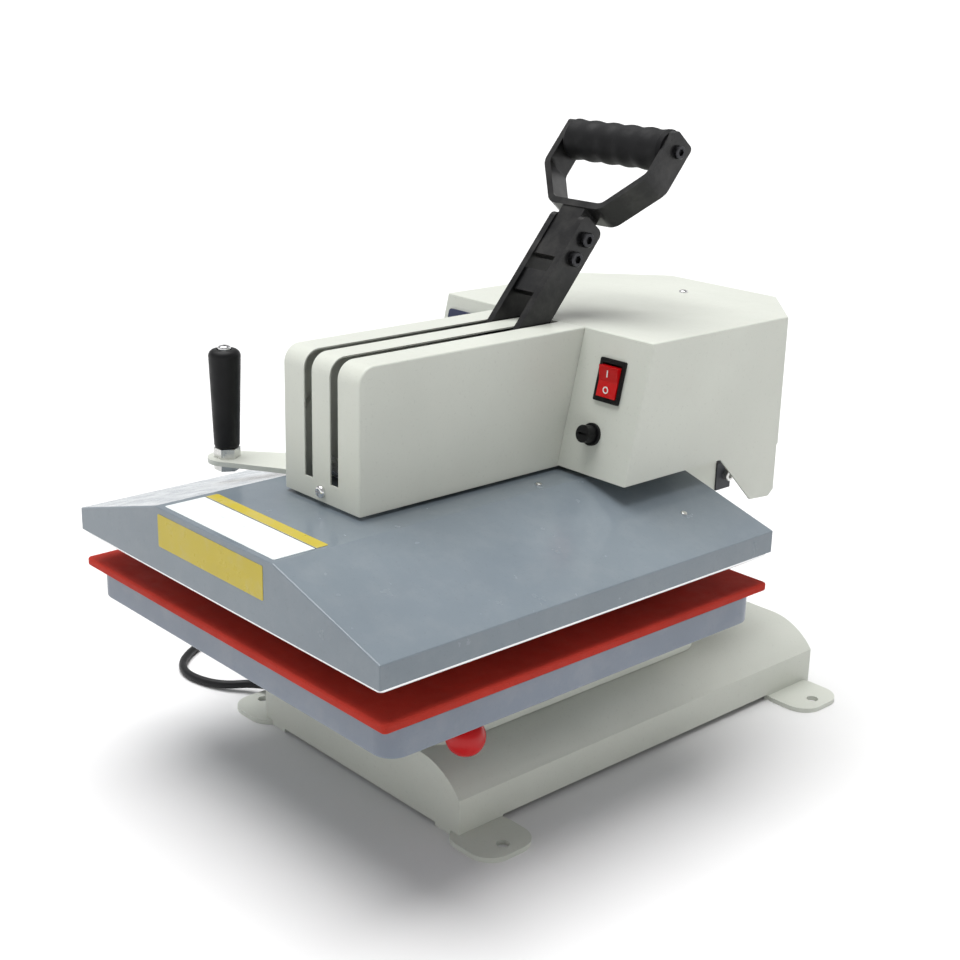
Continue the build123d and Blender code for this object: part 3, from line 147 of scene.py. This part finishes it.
# --- procedural materials -------------------------------------------------------------
class Paint:
    """A Principled material whose detail comes from object-space noise."""

    def __init__(self, name, roughness=0.5, metallic=0.0, **sockets):
        self.material = bpy.data.materials.new(name)
        self.material.use_nodes = True
        self.tree = self.material.node_tree
        self.shader = self.tree.nodes["Principled BSDF"]
        self.shader.inputs["Roughness"].default_value = roughness
        self.shader.inputs["Metallic"].default_value = metallic
        for key, value in sockets.items():
            self.shader.inputs[key.replace("_", " ")].default_value = value
        self.place = self.tree.nodes.new("ShaderNodeTexCoord").outputs["Object"]

    def join(self, out, socket):
        self.tree.links.new(out, socket)

    def noise(self, scale, detail=3.0, roughness=0.55, stretch=(1, 1, 1)):
        mapping = self.tree.nodes.new("ShaderNodeMapping")
        mapping.inputs["Scale"].default_value = stretch
        self.join(self.place, mapping.inputs["Vector"])
        node = self.tree.nodes.new("ShaderNodeTexNoise")
        node.inputs["Scale"].default_value = scale
        node.inputs["Detail"].default_value = detail
        node.inputs["Roughness"].default_value = roughness
        self.join(mapping.outputs["Vector"], node.inputs["Vector"])
        return node.outputs["Fac"]

    def remap(self, value, low, high, start=0.3, end=0.7):
        node = self.tree.nodes.new("ShaderNodeMapRange")
        node.inputs["From Min"].default_value = start
        node.inputs["From Max"].default_value = end
        node.inputs["To Min"].default_value = low
        node.inputs["To Max"].default_value = high
        self.join(value, node.inputs["Value"])
        return node.outputs["Result"]

    def math(self, kind, a, b=0.0):
        node = self.tree.nodes.new("ShaderNodeMath")
        node.operation = kind
        node.use_clamp = kind in ("MULTIPLY", "SUBTRACT")
        for value, socket in ((a, node.inputs[0]), (b, node.inputs[1])):
            if isinstance(value, (int, float)):
                socket.default_value = value
            else:
                self.join(value, socket)
        return node.outputs["Value"]

    def axis(self, letter):
        node = self.tree.nodes.new("ShaderNodeSeparateXYZ")
        self.join(self.place, node.inputs["Vector"])
        return node.outputs[letter]

    def blend(self, share, a, b):
        node = self.tree.nodes.new("ShaderNodeMix")
        node.data_type = "RGBA"
        self.join(share, node.inputs["Factor"])
        colours = [s for s in node.inputs if s.type == "RGBA"]
        for value, socket in ((a, colours[0]), (b, colours[1])):
            if isinstance(value, tuple):
                socket.default_value = (*value, 1.0)
            else:
                self.join(value, socket)
        return [s for s in node.outputs if s.type == "RGBA"][0]

    def colour(self, out):
        self.join(out, self.shader.inputs["Base Color"])

    def rough(self, out):
        self.join(out, self.shader.inputs["Roughness"])

    def bump(self, height, distance, strength=0.5):
        node = self.tree.nodes.new("ShaderNodeBump")
        node.inputs["Strength"].default_value = strength
        node.inputs["Distance"].default_value = distance
        self.join(height, node.inputs["Height"])
        self.join(node.outputs["Normal"], self.shader.inputs["Normal"])


def srgb(*channels):
    """0-255 screen values as linear light."""
    linear = []
    for c in channels:
        c = c / 255
        linear.append(c / 12.92 if c <= 0.04045 else ((c + 0.055) / 1.055) ** 2.4)
    return tuple(linear)


def shade(colour, factor):
    return tuple(min(1.0, c * factor) for c in colour)


def enamel(name, colour, roughness, peel=0.00006, peel_scale=700.0, vary=0.06, coat=0.0, dust=0.0):
    """Sprayed coating: orange peel, slow tone drift, and a little dust in noise patches."""
    paint = Paint(name, roughness, Coat_Weight=coat, Coat_Roughness=0.12, Specular_IOR_Level=0.35)
    drift = paint.remap(paint.noise(9.0, 4.0), 0.0, 1.0)
    tone = paint.blend(drift, shade(colour, 1 - vary), shade(colour, 1 + vary))
    speck = paint.remap(paint.noise(420.0, 2.0), 0.0, 0.35, 0.62, 0.72)
    tone = paint.blend(speck, tone, shade(colour, 0.82))
    if dust:
        film = paint.remap(paint.noise(38.0, 5.0, 0.7), 0.0, dust, 0.45, 0.75)
        tone = paint.blend(film, tone, (0.62, 0.60, 0.55))
    paint.colour(tone)
    paint.rough(paint.remap(paint.noise(55.0, 4.0), roughness - 0.05, roughness + 0.08))
    paint.bump(paint.noise(peel_scale, 2.0), peel, 0.6)
    return paint.material


def metal(name, colour, roughness, stretch=(1, 1, 1), grain_scale=300.0, grain=0.00004, tarnish=0.12):
    """Bare or plated metal with a machining grain."""
    paint = Paint(name, roughness, 1.0)
    grain_out = paint.noise(grain_scale, 3.0, 0.6, stretch)
    stain = paint.remap(paint.noise(26.0, 5.0, 0.65), 0.0, 1.0, 0.4, 0.75)
    tone = paint.blend(stain, colour, shade(colour, 1 - tarnish))
    streak = paint.remap(grain_out, 0.0, 0.5)
    paint.colour(paint.blend(streak, tone, shade(colour, 0.9)))
    paint.rough(paint.remap(grain_out, roughness - 0.06, roughness + 0.12))
    paint.bump(grain_out, grain, 0.5)
    return paint.material


def moulded(name, colour, roughness, texture=0.00005, texture_scale=900.0, vary=0.12, coat=0.0, **more):
    """Moulded plastic or rubber with a fine skin."""
    paint = Paint(name, roughness, Coat_Weight=coat, Specular_IOR_Level=0.25, **more)
    drift = paint.remap(paint.noise(30.0, 4.0), 0.0, 1.0)
    paint.colour(paint.blend(drift, shade(colour, 1 - vary), shade(colour, 1 + vary)))
    paint.rough(paint.remap(paint.noise(90.0, 4.0), roughness - 0.06, roughness + 0.1))
    paint.bump(paint.noise(texture_scale, 3.0), texture, 0.7)
    return paint.material


def silicone(name):
    """Red sponge pad: faint moulding mottle and tiny pores."""
    base = srgb(172, 48, 36)
    paint = Paint(name, 0.7, Specular_IOR_Level=0.15)
    mottle = paint.remap(paint.noise(16.0, 5.0, 0.6), 0.0, 1.0)
    tone = paint.blend(mottle, shade(base, 0.88), shade(base, 1.12))
    pores = paint.remap(paint.noise(850.0, 2.0), 0.0, 0.6, 0.6, 0.7)
    paint.colour(paint.blend(pores, tone, shade(base, 0.6)))
    paint.rough(paint.remap(paint.noise(70.0), 0.6, 0.8))
    paint.bump(paint.noise(850.0, 2.0), 0.00012, 0.6)
    return paint.material


def woven(name):
    """Glass-fibre blanket: two crossed sets of threads."""
    base = srgb(222, 216, 196)
    paint = Paint(name, 0.9, Sheen_Weight=0.3)
    waves = []
    for letter in ("X", "Y"):
        node = paint.tree.nodes.new("ShaderNodeTexWave")
        node.bands_direction = letter
        node.inputs["Scale"].default_value = 160.0
        node.inputs["Distortion"].default_value = 1.5
        paint.join(paint.place, node.inputs["Vector"])
        waves.append(node.outputs["Fac"])
    weave = paint.math("MULTIPLY", waves[0], waves[1])
    paint.colour(paint.blend(weave, shade(base, 0.7), base))
    paint.bump(weave, 0.0006, 0.8)
    return paint.material


def label_film(name):
    """Front plate is all yellow, the top plate is pale with a yellow edge stripe. No lettering."""
    yellow = srgb(188, 170, 56)
    paper = srgb(226, 232, 232)
    border = srgb(60, 62, 60)
    paint = Paint(name, 0.32, Specular_IOR_Level=0.3)
    x, y, z = (paint.axis(letter) for letter in "XYZ")
    low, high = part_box("hood_labels")
    stripe = paint.math("GREATER_THAN", y, high.y - 0.0105)
    line = paint.math("COMPARE", y, high.y - 0.0113)
    line.node.inputs[2].default_value = 0.0006
    front = paint.math("LESS_THAN", z, high.z - 0.001)
    tone = paint.blend(stripe, paper, yellow)
    tone = paint.blend(line, tone, border)
    tone = paint.blend(front, tone, yellow)
    wear = paint.remap(paint.noise(60.0, 5.0, 0.7), 0.0, 0.25, 0.5, 0.8)
    tone = paint.blend(wear, tone, (0.5, 0.5, 0.46))
    paint.colour(tone)
    paint.rough(paint.remap(paint.noise(80.0), 0.25, 0.42))
    paint.bump(paint.noise(260.0, 2.0), 0.00005, 0.4)
    return paint.material


BEIGE = srgb(205, 208, 199)
HOOD_GREY = srgb(118, 128, 136)
UPRIGHT = (1, 1, 14)
materials = {
    "beige_paint": enamel("powder_coat", BEIGE, 0.36, 0.00005, 620.0, 0.035, 0.0, 0.12),
    "grey_paint": enamel("hood_enamel", HOOD_GREY, 0.2, 0.00002, 380.0, 0.04, 0.2, 0.05),
    "platen_paint": enamel("platen_enamel", srgb(120, 129, 142), 0.34, 0.00006, 480.0, 0.08, 0.1, 0.08),
    "silicone": silicone("silicone_sponge"),
    "aluminium": metal("ground_aluminium", (0.82, 0.83, 0.84), 0.3, (1, 12, 1), 240.0),
    "steel": metal("turned_steel", (0.58, 0.59, 0.60), 0.26, UPRIGHT, 130.0),
    "zinc": metal("zinc_plate", (0.68, 0.68, 0.66), 0.3, (1, 1, 1), 500.0, 0.00003, 0.2),
    "chrome": metal("chrome_plate", (0.82, 0.82, 0.83), 0.1, (1, 1, 1), 200.0, 0.00001, 0.05),
    "black_paint": enamel("black_enamel", srgb(12, 12, 14), 0.34, 0.00006, 520.0, 0.1, 0.1, 0.04),
    "black_steel": metal("black_oxide", (0.06, 0.06, 0.065), 0.36, (1, 1, 1), 420.0, 0.00004, 0.3),
    "black_rubber": moulded("foam_rubber", srgb(16, 16, 18), 0.62, 0.00018, 520.0, 0.2),
    "black_plastic": moulded("black_nylon", srgb(12, 12, 14), 0.45, 0.00004, 800.0),
    "grey_plastic": moulded("panel_plastic", srgb(52, 58, 84), 0.42, 0.00004, 800.0),
    "button_plastic": moulded("button_cap", srgb(190, 192, 196), 0.35, 0.00003, 900.0, 0.05),
    "red_plastic": moulded("red_gloss", srgb(196, 14, 18), 0.16, 0.00001, 200.0, 0.08, 0.2),
    "bronze": metal("bronze", (0.62, 0.42, 0.2), 0.34, UPRIGHT, 160.0),
    "iron": enamel("cast_iron_paint", srgb(52, 54, 58), 0.5, 0.0004, 160.0, 0.2),
    "fibre": woven("glass_blanket"),
    "label_film": label_film("label_film"),
    "cord_pvc": moulded("cord_sheath", srgb(24, 24, 26), 0.42, 0.00004, 600.0),
}
slot_of = {row["node"]: row["material_slot"] for row in frame["record"]["subparts"]}
for name, thing in nodes.items():
    thing.data.materials.clear()
    thing.data.materials.append(materials[slot_of[name]])
cord.data.materials.append(materials["cord_pvc"])


# --- pieces that the CAD solids only stand for -----------------------------------------
def new_piece(name, mesh, body, material):
    data = bpy.data.meshes.new(name)
    mesh.to_mesh(data)
    mesh.free()
    thing = bpy.data.objects.new(name, data)
    scene.collection.objects.link(thing)
    data.materials.append(material)
    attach(thing, body)
    return thing


PANEL_TOP_Y = -0.013
PANEL_TOP_Z = 0.358
PANEL_LEAN = 0.026 / 0.112
PANEL_OUT = Vector((0, -0.112, 0.026)).normalized()
PANEL_UP = Vector((0, 0.026, 0.112)).normalized()


def on_panel(x, z, out=0.0):
    """Local x to the right, local y up the leaning front panel, local z outwards."""
    origin = Vector((x, PANEL_TOP_Y - (PANEL_TOP_Z - z) * PANEL_LEAN, z)) + PANEL_OUT * out
    axes = Matrix((Vector((1, 0, 0)), PANEL_UP, PANEL_OUT)).transposed().to_4x4()
    return Matrix.Translation(origin) @ axes


def slab(mesh, width, height, thick, place, bevel=0.0):
    """Bevelled plate standing on local z 0, added to mesh."""
    made = bmesh.ops.create_cube(mesh, size=1.0)["verts"]
    bmesh.ops.scale(mesh, vec=(width, height, thick), verts=made)
    bmesh.ops.translate(mesh, vec=(0, 0, thick / 2), verts=made)
    if bevel:
        edges = list({edge for v in made for edge in v.link_edges})
        bmesh.ops.bevel(mesh, geom=edges, offset=bevel, segments=3, profile=0.7, affect="EDGES")


def slabs(parts):
    """One mesh of several bevelled plates: (width, height, thickness, place, bevel)."""
    whole = bmesh.new()
    for width, height, thick, place, bevel in parts:
        piece = bmesh.new()
        slab(piece, width, height, thick, place, bevel)
        bmesh.ops.transform(piece, matrix=place, verts=piece.verts)
        data = bpy.data.meshes.new("part")
        piece.to_mesh(data)
        piece.free()
        whole.from_mesh(data)
        bpy.data.meshes.remove(data)
    return whole


DISPLAY = (-0.083, 0.309)
lcd = Paint("display_glass", 0.08, Coat_Weight=0.8)
lcd.colour(lcd.blend(lcd.remap(lcd.noise(24.0), 0.0, 1.0), srgb(16, 22, 46), srgb(24, 34, 66)))
lcd.rough(lcd.remap(lcd.noise(70.0), 0.05, 0.14))
window = on_panel(*DISPLAY, 0.00052) @ Matrix.Translation((0, 0.010, 0))
pane = slabs([(0.0496, 0.0416, 0.0012, window, 0.0004)])
new_piece("display_window", pane, "swing_arm", lcd.material)

SEGMENTS = {"0": "abcdef", "1": "bc", "8": "abcdefg", "6": "acdefg", "5": "acdfg"}
SEGMENT_PLACE = {
    "a": (0, 1, 0), "b": (1, 0.5, 1), "c": (1, -0.5, 1), "d": (0, -1, 0),
    "e": (-1, -0.5, 1), "f": (-1, 0.5, 1), "g": (0, 0, 0),
}
DIGIT_H = 0.0066
DIGIT_STEP = 0.0088
DIGIT_OUT = 0.00115


def digits(text, x, y):
    parts = []
    for i, letter in enumerate(text):
        for segment in SEGMENTS[letter]:
            sx, sy, upright = SEGMENT_PLACE[segment]
            size = (0.0009, DIGIT_H * 0.82) if upright else (0.0042, 0.0009)
            across = x + i * DIGIT_STEP + sx * 0.0027
            above = y + sy * DIGIT_H * (0.98 if upright else 1)
            spot = Matrix.Translation((across, above, DIGIT_OUT))
            parts.append((*size, 0.0003, window @ spot, 0.00008))
    return parts


lamp = Paint("lit_segments", 0.4, Emission_Strength=1.6)
glow = lamp.blend(lamp.remap(lamp.noise(500.0), 0.0, 1.0), srgb(80, 220, 190), srgb(120, 240, 215))
lamp.colour(glow)
lamp.join(glow, lamp.shader.inputs["Emission Color"])
readout = slabs(digits("180", -0.010, 0.0095) + digits("60", -0.0055, -0.0100))
new_piece("display_digits", readout, "swing_arm", lamp.material)

# rocker marks, tilted with the rocker's two faces
white = moulded("printed_white", srgb(236, 236, 232), 0.4, 0.00001, 300.0, 0.03)
ROCKER = (0.086, 0.322)
ROCKER_TILT = math.radians(8.0)
rocker_turn = on_panel(*ROCKER, -0.002) @ Matrix.Rotation(ROCKER_TILT, 4, "X")
FACE_OUT = 0.0072
MARK_UP = 0.0066
MARK_RING = 0.0024
bar_spot = Matrix.Translation((0, MARK_UP, FACE_OUT))
ring_middle = Matrix.Translation((0, -MARK_UP, FACE_OUT))
marks = [(0.0011, 0.0056, 0.00025, rocker_turn @ bar_spot, 0.00006)]
SIDES = 20
for i in range(SIDES):
    angle = 2 * math.pi * i / SIDES
    spot = ring_middle @ Matrix.Rotation(angle, 4, "Z") @ Matrix.Translation((MARK_RING, 0, 0))
    marks.append((0.0010, 0.00080, 0.00025, rocker_turn @ spot, 0.00006))
new_piece("rocker_marks", slabs(marks), "rocker", white)


def wedge(place, flip):
    """Small raised triangle."""
    mesh = bmesh.new()
    tip = 0.0017 * flip
    spots = [(-0.0021, -tip * 0.8), (0.0021, -tip * 0.8), (0, tip)]
    low = [mesh.verts.new((x, y, 0)) for x, y in spots]
    high = [mesh.verts.new((x * 0.85, y * 0.85, 0.0002)) for x, y in spots]
    mesh.faces.new(high if flip > 0 else high[::-1])
    mesh.faces.new(low[::-1] if flip > 0 else low)
    for i in range(3):
        quad = (low[i], low[(i + 1) % 3], high[(i + 1) % 3], high[i])
        mesh.faces.new(quad if flip > 0 else quad[::-1])
    bmesh.ops.transform(mesh, matrix=place, verts=mesh.verts)
    return mesh


mark_ink = moulded("printed_dark", srgb(30, 34, 60), 0.45, 0.00001, 300.0)
BUTTON_Y = -0.025
for node, dx, flip in (("up_button", 0.0065, 1), ("down_button", -0.0065, -1)):
    place = on_panel(DISPLAY[0], DISPLAY[1], 0.004) @ Matrix.Translation((dx, BUTTON_Y, 0))
    new_piece(node + "_mark", wedge(place, flip), node, mark_ink)

# tie that holds the coil: a flat strap round its section, on the side away from the lead
tie = bmesh.new()
TIE_ANGLE = math.radians(215)
STRAP_HALF = 0.0022
section = Matrix.Translation((COIL_X, COIL_Y, 0)) @ Matrix.Rotation(TIE_ANGLE, 4, "Z")
TIE_HALF_R, TIE_HALF_Z = 0.0083, 0.0080
TIE_THICK = 0.0005
COIL_MEAN = 0.0375
rings = []
TIE_STEPS = 48
for i in range(TIE_STEPS):
    angle = 2 * math.pi * i / TIE_STEPS
    c, s = math.cos(angle), math.sin(angle)
    squash = (abs(c) ** 4 + abs(s) ** 4) ** -0.25
    ring = []
    for side, out in ((-1, 0), (1, 0), (1, TIE_THICK), (-1, TIE_THICK)):
        r = COIL_MEAN + (TIE_HALF_R + out) * c * squash
        z = COIL_Z + CORD_D / 2 + (TIE_HALF_Z + out) * s * squash
        ring.append(tie.verts.new(section @ Vector((r, side * STRAP_HALF, max(z, 0.0001)))))
    rings.append(ring)
for i in range(TIE_STEPS):
    here, there = rings[i], rings[(i + 1) % TIE_STEPS]
    for k in range(4):
        tie.faces.new((here[k], here[(k + 1) % 4], there[(k + 1) % 4], there[k]))
bmesh.ops.recalc_face_normals(tie, faces=tie.faces)
cord_tie = new_piece("cord_tie", tie, "base", materials["black_plastic"])

# --- stage ------------------------------------------------------------------------------
world = bpy.data.worlds.new("studio")
world.use_nodes = True
sky = world.node_tree.nodes["Background"]
sky.inputs["Color"].default_value = (1.0, 1.0, 1.0, 1.0)
# pale at the horizon and dimmer overhead
sky_way = world.node_tree.nodes.new("ShaderNodeTexCoord").outputs["Generated"]
sky_axes = world.node_tree.nodes.new("ShaderNodeSeparateXYZ")
sky_fade = world.node_tree.nodes.new("ShaderNodeMapRange")
for label, value in (("From Min", 0.10), ("From Max", 0.22), ("To Min", 1.05), ("To Max", 0.40)):
    sky_fade.inputs[label].default_value = value
world.node_tree.links.new(sky_way, sky_axes.inputs["Vector"])
world.node_tree.links.new(sky_axes.outputs["Z"], sky_fade.inputs["Value"])
world.node_tree.links.new(sky_fade.outputs["Result"], sky.inputs["Strength"])
scene.world = world
scene.view_settings.view_transform = "Standard"

FLOOR_HALF = 60.0
floor_mesh = bmesh.new()
bmesh.ops.create_grid(floor_mesh, x_segments=8, y_segments=8, size=FLOOR_HALF)
floor_data = bpy.data.meshes.new("floor")
floor_mesh.to_mesh(floor_data)
floor_mesh.free()
floor = bpy.data.objects.new("floor", floor_data)
scene.collection.objects.link(floor)
floor_paint = Paint("floor_paper", 0.85)
floor_drift = floor_paint.remap(floor_paint.noise(3.0), 0.0, 1.0)
floor_paint.colour(floor_paint.blend(floor_drift, (0.78, 0.78, 0.78), (0.81, 0.81, 0.81)))
floor.data.materials.append(floor_paint.material)


def softbox(name, at, aim, size, power):
    data = bpy.data.lights.new(name, "AREA")
    data.shape = "RECTANGLE"
    data.size, data.size_y = size
    data.energy = power
    lamp_object = bpy.data.objects.new(name, data)
    scene.collection.objects.link(lamp_object)
    lamp_object.location = at
    lamp_object.rotation_euler = (Vector(aim) - Vector(at)).to_track_quat("-Z", "Y").to_euler()


sun_data = bpy.data.lights.new("overhead", "SUN")
sun_data.energy = 3.5
sun_data.angle = math.radians(50)
sun = bpy.data.objects.new("overhead", sun_data)
sun.rotation_euler = Vector((0.20, 0.02, -1.0)).to_track_quat("-Z", "Y").to_euler()
scene.collection.objects.link(sun)
AIM = (0.0, -0.05, 0.2)
softbox("front_box", (-0.9, -2.2, 1.4), AIM, (1.2, 1.2), 1.5)
softbox("back_box", (0.3, 2.2, 1.6), AIM, (1.6, 1.0), 4.0)
